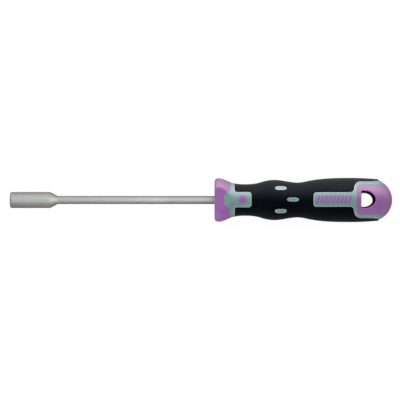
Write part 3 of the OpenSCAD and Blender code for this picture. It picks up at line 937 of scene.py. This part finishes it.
# Each border: its line, whether that is closed, the side on which the patch lies, the rounding.
def patch(chart, borders, loops, step, runs=(), highlighted=None):
    points, drops, owners, links, ends = [], [], [], [], []

    def put(line, closed, drop, owner):
        first, count = len(points), len(line)
        if not closed:
            line[[0, -1]] = chart.parting_points([chart.parting_place(line[i]) for i in (0, -1)])
            ends.extend((first, first + count - 1))
        points.extend(line)
        drops.extend(np.broadcast_to(drop, count))
        owners.extend([owner] * count)
        links.extend((first + i, first + (i + 1) % count) for i in range(count if closed else count - 1))

    for owner, (line, closed, side, edge) in enumerate(borders):
        edge = np.broadcast_to(edge, len(line))
        for share in EDGE_SHARES if edge.max() > 0 else (0.0,):
            put(line + side * beside(line, closed) * (share * edge)[:, None], closed,
                edge * (1 - math.sqrt(1 - (1 - share) ** 2)), owner)
    for start, stop in runs:
        held = sorted((chart.parting_place(points[i]), i) for i in ends)
        held = [x for x in held if start - END_SLACK <= x[0] <= stop + END_SLACK]
        samples = np.linspace(start, stop, math.ceil((stop - start) / step) + 1)[1:-1]
        free = [s for s in samples if min(abs(s - x[0]) for x in held) > step * RUN_GAP]
        held += [(s, len(points) + i) for i, s in enumerate(free)]
        points.extend(chart.parting_points(free))
        drops.extend([0.0] * len(free))
        owners.extend([-1] * len(free))
        order = [i for _, i in sorted(held)]
        links.extend(zip(order[:-1], order[1:]))
    lines = np.array(points)
    fill = fill_points(lines, loops, step)
    every = [tuple(p) for p in np.vstack([lines, fill])]
    flat, _, faces, origin, _, _ = delaunay_2d_cdt(every, links, [], 0, CDT_SLACK)
    flat = np.array([tuple(p) for p in flat])
    source = [o[0] for o in origin]
    drop = np.append(drops, np.zeros(len(fill)))[source]
    owner = np.append(owners, np.full(len(fill), -1))[source]
    faces = np.array(faces)
    faces = faces[inside(flat[faces].mean(1), loops)]
    # The painted highlight fades in from the given lines, or else from all the borders.
    highlit = np.vstack([b[0] for b in borders] if highlighted is None else [highlighted])
    return Patch(flat, drop, owner, faces, np.clip(1 - distance_to(flat, highlit) / HIGHLIGHT_REACH, 0, 1))


def band(chart, front, rear, edges, step, holes=(), highlighted=None):
    borders = [(front, False, -1, edges[0]), (rear, False, 1, edges[1])]
    borders += [(hole, True, -1, edges[2]) for hole in holes]
    loops = [chart.loop_between(front, rear), *holes]
    return patch(chart, borders, loops, step, chart.runs_between(front, rear), highlighted)


print("rows beside a line, as shares of its rounding:", EDGE_SHARES)

# %% [markdown]
# ## Putting a shot together
#
# A shot is a closed solid: patches of skin, the hidden faces under its neighbours, and walls that join them
# along the lines. Each part is made for the upper half, and its mirror image is added for the lower half. The
# points along the parting line are then the same in both, so they merge, and the piece closes.

# %% Collecting the parts of a shot
class Shot:
    def __init__(self):
        self.points, self.faces, self.rubs, self.finishes, self.count = [], [], [], [], 0

    # Each point carries its share of the painted highlight along edges; a wall gives it to its upper row.
    def part(self, points, faces, rub=0.0, finish=0):
        for flip in (1, -1):
            self.points.append(points * (1, 1, flip))
            self.rubs.append(np.broadcast_to(rub, len(points)))
            self.finishes.extend([finish] * len(faces))
            self.faces.extend([self.count + i for i in face[::flip]] for face in faces)
            self.count += len(points)

    def wall(self, upper, lower, closed=False, rub=1.0, finish=0):
        n = len(upper)
        quads = [(i, (i + 1) % n, n + (i + 1) % n, n + i) for i in range(n if closed else n - 1)]
        self.part(np.vstack([upper, lower]), quads, np.repeat([rub, 0.0], n), finish)

    def piece(self, name, *finishes):
        mesh = bpy.data.meshes.new(name)
        mesh.from_pydata(((np.vstack(self.points) + (BLADE, 0, 0)) * MM).tolist(), [], self.faces)
        mesh.attributes.new(EDGE_HIGHLIGHT, "FLOAT", "POINT").data.foreach_set("value", np.concatenate(self.rubs))
        for finish in finishes:
            mesh.materials.append(finish)
        mesh.polygons.foreach_set("material_index", self.finishes)
        settle(mesh)
        return place_object(name, mesh)


GRIP_T, SLEEVE_T = 1.6, 1.2
UNDER_SLEEVE = GRIP_T + SLEEVE_T
SHUT_EDGE, GRIP_EDGE, TAIL_EDGE = 0.16, 0.28, 0.4
GRIP_STEP, SKIN_STEP, COLLAR_STEP, HIDDEN_STEP = 0.6, 0.45, 0.35, 1.6
print("grip and sleeve together:", UNDER_SLEEVE, "mm thick")

# %% [markdown]
# ## The soft grip
#
# The grip is the whole skin between the tab line and the plate line, without the finger pads. Its inner face
# lies on the sleeve. The rounding of its edge is larger at the rear, where the grip ends in a free step.

# %% Soft grip
TAIL_RUN = 3.0
tab_on_grip, plate_on_grip = grip_chart_of(*tab_line), grip_chart_of(*plate_line)
pads_on_grip = [grip_chart_of(*line) for line in pad_lines]
rear_share = np.clip((plate_line[0] - GRIP_END) / TAIL_RUN + 1, 0, 1)
plate_edge = GRIP_EDGE + (TAIL_EDGE - GRIP_EDGE) * rear_share
outer = band(
    grip_skin, tab_on_grip, plate_on_grip, (GRIP_EDGE, plate_edge, GRIP_EDGE), GRIP_STEP, pads_on_grip)
under = band(grip_skin, tab_on_grip, plate_on_grip, (0, 0, 0), HIDDEN_STEP, pads_on_grip)
grip = Shot()
grip.part(on_grip(outer.flat, outer.drop), outer.faces, outer.rub)
grip.part(on_grip(under.flat, GRIP_T), under.faces)
for line, closed, edge in ((tab_on_grip, False, GRIP_EDGE), (plate_on_grip, False, plate_edge),
                           *[(pad, True, GRIP_EDGE) for pad in pads_on_grip]):
    grip.wall(on_grip(line, edge), on_grip(line, GRIP_T), closed)
soft_grip = grip.piece("soft_grip", black_elastomer)
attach(soft_grip, "root")
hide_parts("grip_cover")

# %% [markdown]
# ## The sleeve
#
# The sleeve shows in front of the grip as a ring with a nose and a tab, through the grip as finger pads, and
# behind it as a plate that widens into a surround. All these stand on one thin shell that runs under the
# grip, so it is modelled as one piece too. The plate lies a hair below the grip, which leaves room for its
# ribs.

# %% Sleeve
PLATE_SINK, SINK_FROM, SINK_RUN = 0.18, 88.0, 4.0
nose_on_hard, tab_on_hard, plate_on_hard = (chart_of(*line) for line in (nose_line, tab_line, plate_line))
pads_on_hard = [chart_of(*line) for line in pad_lines]


def plate_sink(chart):
    share = np.clip((SINK_FROM - BALL_AT - chart[:, 0]) / SINK_RUN, 0, 1)
    return PLATE_SINK * share**2 * (3 - 2 * share)


sleeve = Shot()
# On the skin the painted highlight fades in from the lines where the sleeve meets the grip.
front_skin = band(
    hard_skin, nose_on_hard, tab_on_hard, (SHUT_EDGE, SHUT_EDGE), SKIN_STEP, highlighted=tab_on_hard)
rear_skin = band(
    hard_skin, plate_on_hard, cap_chart, (SHUT_EDGE, SHUT_EDGE), SKIN_STEP, highlighted=plate_on_hard)
pad_skins = [patch(hard_skin, [(pad, True, 1, SHUT_EDGE)], [pad], SKIN_STEP) for pad in pads_on_hard]
for skin in (front_skin, *pad_skins):
    sleeve.part(on_hard(skin.flat, skin.drop), skin.faces, skin.rub)
sunk_points = on_hard(rear_skin.flat, rear_skin.drop + plate_sink(rear_skin.flat))
sleeve.part(sunk_points, rear_skin.faces, rear_skin.rub)
sleeve.part(on_grip(under.flat, GRIP_T), under.faces)
for line, on_grip_line, sunk, closed in (
        (tab_on_hard, tab_on_grip, 0.0, False),
        (plate_on_hard, plate_on_grip, plate_sink(plate_on_hard), False),
        *[(*both, 0.0, True) for both in zip(pads_on_hard, pads_on_grip)]):
    sleeve.wall(on_hard(line, SHUT_EDGE + sunk), on_grip(on_grip_line, GRIP_T), closed)
inner = band(hard_skin, nose_on_hard, cap_chart, (0, 0), HIDDEN_STEP)
sleeve.part(on_hard(inner.flat, UNDER_SLEEVE), inner.faces)
for line, sunk in ((nose_on_hard, 0.0), (cap_chart, plate_sink(cap_chart))):
    sleeve.wall(on_hard(line, SHUT_EDGE + sunk), on_hard(line, UNDER_SLEEVE))
moulded_sleeve = sleeve.piece("moulded_sleeve", green_plastic)
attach(moulded_sleeve, "root")
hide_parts("handle_sleeve")

# %% [markdown]
# ## The core
#
# The core shows as the collar in front and as the cap at the end. Between them it is a bar inside the sleeve.
# The hanging hole goes right through the cap and narrows to the middle, where the two halves of the mould
# met. Its edge is rounded so that it does not cut a cord or a hook.

# %% Core
FRONT = COLLAR_EDGE * (1 - math.pi / 2)  # the collar's rounded edge, unrolled in front of its face
HOLE_EDGE, HOLE_ROWS, CAP_SAMPLES = 0.6, 14, 80
HOLE_BORDER, WALL_FINISH = 1, 1  # counted from 0: the cap's second border, the core's second finish
collar_front = spaced(np.array([(FRONT - BALL_AT, -QUARTER), (FRONT - BALL_AT, QUARTER)]), COLLAR_STEP)
core = Shot()
collar = band(hard_skin, collar_front, nose_on_hard, (0, SHUT_EDGE), COLLAR_STEP)
core.part(on_hard(collar.flat, collar.drop), collar.faces)
core.part(on_hard(inner.flat, UNDER_SLEEVE), inner.faces)
for line in (nose_on_hard, cap_chart):
    core.wall(on_hard(line, SHUT_EDGE), on_hard(line, UNDER_SLEEVE))
cap_run = (hard_skin.parting_place(cap_chart[-1]), hard_skin.parting_place(cap_chart[0]))
cap_loop = np.vstack([cap_chart, hard_skin.parting_points(np.linspace(*cap_run, CAP_SAMPLES)[1:-1])])
cap = patch(hard_skin, [(cap_chart, False, -1, SHUT_EDGE), (hole_chart, True, -1, HOLE_EDGE)],
            [cap_loop, hole_chart], SKIN_STEP, [cap_run])
at_hole = cap.owner == HOLE_BORDER
straight_down = np.outer(np.where(at_hole, cap.drop, 0), (0, 0, 1))
cap_points = on_hard(cap.flat, np.where(at_hole, 0, cap.drop)) - straight_down
# The rounded rim of the hole gets the painted highlight.
core.part(cap_points, cap.faces, np.where(at_hole & (cap.drop > 0), 1.0, 0.0))
rows = [on_hard(hole_chart) - (0, 0, HOLE_EDGE)]
for share in np.linspace(1, 0, HOLE_ROWS + 1)[1:]:
    z = (hole_z - HOLE_EDGE) * share
    rows.append(np.column_stack([hole_at_height(z), z]))
# The hole's wall takes the core's second finish, which paints it in shade.
for upper, lower in zip(rows[:-1], rows[1:]):
    core.wall(upper, lower, closed=True, rub=0.0, finish=WALL_FINISH)
print("hole is", round(np.ptp(rows[-1][:, 0]), 2), "by", round(np.ptp(rows[-1][:, 1]), 2), "mm at its middle")

# %% Front face and bore of the core
BORE_R, BORE_LEN = SHANK_R + 0.02, 62.0  # a hair wider than the shank
FACE_SHARES = (0, 0.02, 0.5, 0.98, 1)  # rows from the rim to the bore, close beside both
rim = on_hard(collar_front)
rim_turn = collar_front[:, 1] / BALL_R
mouth = np.column_stack([np.zeros(len(rim)), BORE_R * np.sin(rim_turn), BORE_R * np.cos(rim_turn)])
face_rows = [rim + (mouth - rim) * t for t in FACE_SHARES]
bottom = mouth + (BORE_LEN, 0, 0)
bore_rows = [*face_rows, bottom, bottom * (1, 0, 0)]
for upper, lower in zip(bore_rows[:-1], bore_rows[1:]):
    core.wall(upper, lower, rub=0.0)
moulded_core = core.piece("moulded_core", purple_plastic, hole_shade_plastic)
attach(moulded_core, "root")
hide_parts("handle_core")

# %% [markdown]
# ## The nut sign
#
# A plain hexagon on the tab tells which tool this is when only handles show in a drawer. It is a small purple
# plug that stands a hair proud of the tab, on both faces. It is made as a patch too, so it follows the neck.

# %% Nut sign
SIGN_AT, SIGN_R, SIGN_CORNER, SIGN_EDGE = 16.9, 2.95, 0.25, 0.12
SIGN_PROUD, SIGN_SUNK, SIGN_STEP, BASE_STEP = 0.07, 0.4, 0.4, 1.2
sign_path = spaced_ring(rounded_path([
    (SIGN_AT + SIGN_R * math.cos(a), SIGN_R * math.sin(a), SIGN_CORNER)
    for a in np.arange(HEX_SIDES) * math.tau / HEX_SIDES]))
sign_line = grip_chart_of(sign_path[:, 0], np.arcsin(sign_path[:, 1] / grip_radius(sign_path[:, 0])))
sign_top = patch(grip_skin, [(sign_line, True, 1, SIGN_EDGE)], [sign_line], SIGN_STEP)
sign_base = patch(grip_skin, [(sign_line, True, 1, 0)], [sign_line], BASE_STEP)
sign = Shot()
sign.part(on_grip(sign_top.flat, sign_top.drop - SIGN_PROUD), sign_top.faces, sign_top.rub)
sign.part(on_grip(sign_base.flat, SIGN_SUNK), sign_base.faces)
sign.wall(on_grip(sign_line, SIGN_EDGE - SIGN_PROUD), on_grip(sign_line, SIGN_SUNK), closed=True)
nut_sign = sign.piece("nut_sign", purple_plastic)
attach(nut_sign, "root")

# %% [markdown]
# ## Ribs on the plate
#
# The plate carries a row of low slanted ribs in the core's purple, for the thumb. They repeat and they follow
# the swelling handle, so Geometry Nodes make them: a line of points, one rib on each, and a ray straight
# down to the sleeve that finds where each point of a rib lies on the skin.

# %% One rib
RIB_ROWS, RIB_SIDES = 33, 16
END_POWER, END_REST = 8.0, 1.001  # blunt ends, which stay a hair wide, so that they close


def rib_bar(node, length, width, height):
    reach, back, breadth = [
        node("ShaderNodeMath", {0: size, 1: share}, operation="MULTIPLY")
        for size, share in ((length, 0.5), (length, -0.5), (width, 0.5))]
    start, end = [node("ShaderNodeCombineXYZ", {1: place}) for place in (back, reach)]
    spine = node("GeometryNodeCurvePrimitiveLine", {"Start": start, "End": end})
    fine = node("GeometryNodeResampleCurve", {"Curve": spine, "Count": RIB_ROWS})
    share = node("GeometryNodeSplineParameter").outputs["Factor"]
    centred = node("ShaderNodeMath", {0: share, 1: 2.0, 2: -1.0}, operation="MULTIPLY_ADD")
    even = node("ShaderNodeMath", {0: centred}, operation="ABSOLUTE")
    steep = node("ShaderNodeMath", {0: even, 1: END_POWER}, operation="POWER")
    rest = node("ShaderNodeMath", {0: END_REST, 1: steep}, operation="SUBTRACT")
    taper = node("ShaderNodeMath", {0: rest}, operation="SQRT")
    bar = node("GeometryNodeSetCurveRadius", {"Curve": fine, "Radius": taper})
    round_profile = node("GeometryNodeCurvePrimitiveCircle", {"Resolution": RIB_SIDES, "Radius": breadth})
    full = node("GeometryNodeCurveToMesh", {"Curve": bar, "Profile Curve": round_profile, "Fill Caps": True})
    squeeze = node("ShaderNodeMath", {0: height, 1: breadth}, operation="DIVIDE")
    return node("GeometryNodeTransform", {
        "Geometry": full, "Scale": node("ShaderNodeCombineXYZ", {0: 1.0, 1: 1.0, 2: squeeze})})


print("a rib has", RIB_ROWS, "rows of", RIB_SIDES, "points")

# %% The rib tree
RAY_FROM, RAY_LENGTH = 0.05, 0.1  # metres


def rib_tree():
    sizes = dict.fromkeys(("First", "Pitch", "Length", "Width", "Height", "Slant"), "Float")
    tree, identifiers, node = new_tree("plate_ribs", {
        "Own mesh": "Geometry", "Carrier": "Object", "Count": "Int", **sizes, "Finish": "Material"}, "Ribs")
    given = node("NodeGroupInput").outputs
    start, offset = [node("ShaderNodeCombineXYZ", {0: given[key]}) for key in ("First", "Pitch")]
    spots = node("GeometryNodeMeshLine", {"Count": given["Count"], "Start Location": start, "Offset": offset})
    low = rib_bar(node, given["Length"], given["Width"], given["Height"])
    slant = node("ShaderNodeCombineXYZ", {2: given["Slant"]})
    laid = node("GeometryNodeInstanceOnPoints", {"Points": spots, "Instance": low, "Rotation": slant})
    loose = node("GeometryNodeRealizeInstances", {"Geometry": laid})
    carrier = node("GeometryNodeObjectInfo", {"Object": given["Carrier"]}).outputs["Geometry"]
    place = node("ShaderNodeSeparateXYZ", {0: node("GeometryNodeInputPosition")}).outputs
    above = node("ShaderNodeCombineXYZ", {0: place[0], 1: place[1], 2: RAY_FROM})
    ray = node("GeometryNodeRaycast", {
        "Target Geometry": carrier, "Source Position": above, "Ray Direction": (0, 0, -1),
        "Ray Length": RAY_LENGTH}).outputs
    lift = node("ShaderNodeVectorMath", {0: ray["Hit Normal"], "Scale": place[2]}, operation="SCALE")
    on_skin = node("ShaderNodeVectorMath", {0: ray["Hit Position"], 1: lift})
    upper = node("GeometryNodeSetPosition", {"Geometry": loose, "Position": on_skin})
    mirrored = node("GeometryNodeTransform", {"Geometry": upper, "Scale": (1, 1, -1)})
    lower = node("GeometryNodeFlipFaces", {"Mesh": mirrored})
    both = node("GeometryNodeJoinGeometry")
    for half_row in (upper, lower):
        tree.links.new(half_row.outputs[0], both.inputs[0])
    end_tree(node, both, given["Finish"], "Ribs")
    return tree, identifiers


rib_nodes, rib_inputs = rib_tree()
print("rib tree:", len(rib_nodes.nodes), "nodes")

# %% Lay the ribs
RIBS = {"Carrier": moulded_sleeve, "Count": 9, "First": (BLADE + 62.6) * MM, "Pitch": 2.4 * MM,
        "Length": 5.0 * MM, "Width": 1.55 * MM, "Height": 0.14 * MM, "Slant": math.radians(-20),
        "Finish": purple_plastic}
plate_ribs = grown("plate_ribs", bpy.data.meshes.new("no mesh yet"), rib_nodes, rib_inputs, RIBS)
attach(plate_ribs, "root")
